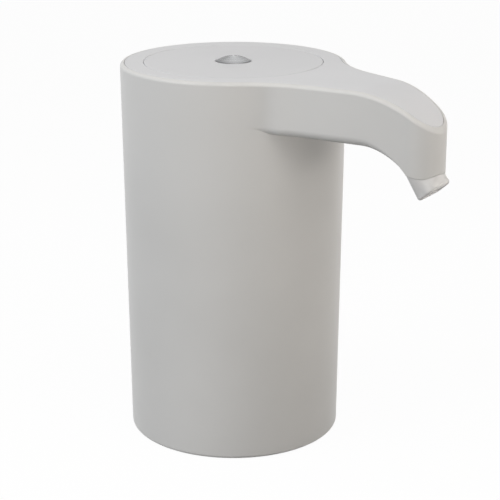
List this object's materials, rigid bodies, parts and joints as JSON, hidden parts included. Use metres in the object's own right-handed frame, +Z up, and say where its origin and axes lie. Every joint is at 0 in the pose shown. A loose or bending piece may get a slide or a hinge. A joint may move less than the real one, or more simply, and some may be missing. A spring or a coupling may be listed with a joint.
{
  "type": "electric water jug pump",
  "caption": "Battery pump that stands on the neck of a large water bottle, with a round body, a comma-shaped spout arm that bends down to its outlet, and a domed push button.",
  "frame": {"origin": "on the axis of the round body, in the plane of the foot that it stands on", "axes": "+Z up along the body, +X along the spout arm, +Y to the left of the arm seen from the body"},
  "size_m": [0.1258, 0.077, 0.1329],
  "materials": {
    "housing_plastic": "satin moulded ABS",
    "cover_plastic": "satin moulded ABS",
    "panel_plastic": "satin moulded ABS",
    "button_metal": "spun brushed",
    "silicone": "soft matt",
    "collar_rubber": "soft matt",
    "clear_hose": "smooth",
    "nylon": "moulded",
    "nitrile": "matt",
    "zinc_steel": "zinc plated",
    "ground_steel": "ground",
    "core_steel": "stamped",
    "ferrite": "sintered",
    "black_plastic": "moulded",
    "brass": "stamped",
    "copper": "enamelled",
    "cell_sleeve": "shrink film",
    "lead_sheath": "extruded",
    "board_laminate": "solder mask"
  },
  "bodies": {
    "housing": {"body_shell": "housing_plastic", "top_cover": "cover_plastic", "top_panel": "panel_plastic", "spout_nozzle": "silicone", "base_cup": "housing_plastic", "neck_collar": "collar_rubber", "base_screws": "zinc_steel", "intake_spigot": "nylon", "spigot_o_ring": "nitrile", "pump_lid": "nylon", "pump_gasket": "nitrile", "pump_body": "nylon", "idler_pin": "ground_steel", "shaft_seal": "nitrile", "pump_screws": "zinc_steel", "motor_can": "zinc_steel", "motor_magnets": "ferrite", "motor_end_cap": "black_plastic", "motor_brushes": "brass", "front_bush": "brass", "rear_bush": "brass", "motor_screws": "zinc_steel", "outlet_hose": "clear_hose", "battery_cell": "cell_sleeve", "battery_cradle": "housing_plastic", "battery_leads": "lead_sheath", "motor_leads": "lead_sheath", "control_board": "board_laminate", "board_parts": "black_plastic", "switch_body": "black_plastic", "usb_socket": "zinc_steel", "board_screws": "zinc_steel"},
    "button": {"power_button": "button_metal", "button_stem": "nylon"},
    "plunger": {"switch_plunger": "nylon"},
    "rotor": {"motor_shaft": "ground_steel", "armature_core": "core_steel", "armature_windings": "copper", "commutator": "copper", "drive_gear": "nylon"},
    "idler": {"driven_gear": "nylon"}
  },
  "joints": [
    {"name": "button_press", "type": "slide", "parent": "housing", "child": "button", "axis": [0, 0, -1], "range_m": [0, 0.0012], "stiffness_N_per_m": 1200},
    {"name": "plunger_press", "type": "slide", "parent": "housing", "child": "plunger", "axis": [0, 0, -1], "range_m": [0, 0.0012]},
    {"name": "motor_spin", "type": "hinge", "parent": "housing", "child": "rotor", "pos_m": [-0.0104, 0, 0.07], "axis": [0, 0, 1], "continuous": true},
    {"name": "idler_spin", "type": "hinge", "parent": "housing", "child": "idler", "pos_m": [-0.0014, 0, 0.0498], "axis": [0, 0, 1], "continuous": true}
  ],
  "couplings": [
    {"joint": "plunger_press", "follows": "button_press", "ratio": 1},
    {"joint": "idler_spin", "follows": "motor_spin", "ratio": -1}
  ]
}
